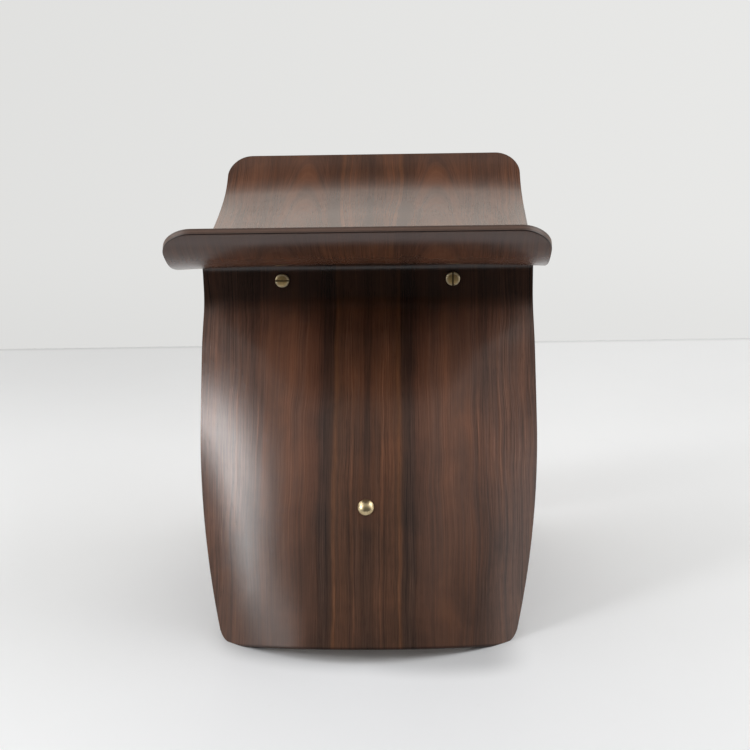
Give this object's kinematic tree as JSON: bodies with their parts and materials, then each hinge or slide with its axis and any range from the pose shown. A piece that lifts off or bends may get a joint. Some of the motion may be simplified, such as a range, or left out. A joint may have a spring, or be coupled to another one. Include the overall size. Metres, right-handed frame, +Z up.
{
  "type": "kneeling bench",
  "caption": "Low bench of two mirrored moulded plywood shells: upturned seat wings, splayed curved legs, slotted brass joint screws and a brass stretcher rod.",
  "frame": {"origin": "centre of the footprint on the floor", "axes": "+X from wing to wing, +Y along the seat's crease, +Z up"},
  "size_m": [0.4234, 0.3122, 0.3866],
  "materials": {
    "shell_front": "satin lacquered dark striped veneer over moulded plywood",
    "shell_back": "satin lacquered dark striped veneer over moulded plywood",
    "joint_screw_1": "polished",
    "joint_screw_2": "polished",
    "joint_sleeve_nut_1": "polished",
    "joint_sleeve_nut_2": "polished",
    "stretcher_rod": "polished",
    "cap_nut_front": "polished",
    "cap_nut_back": "polished"
  },
  "bodies": {
    "root": {"shell_front": "shell_front", "shell_back": "shell_back", "joint_screw_1": "joint_screw_1", "joint_screw_2": "joint_screw_2", "joint_sleeve_nut_1": "joint_sleeve_nut_1", "joint_sleeve_nut_2": "joint_sleeve_nut_2", "stretcher_rod": "stretcher_rod", "cap_nut_front": "cap_nut_front", "cap_nut_back": "cap_nut_back"}
  },
  "joints": []
}
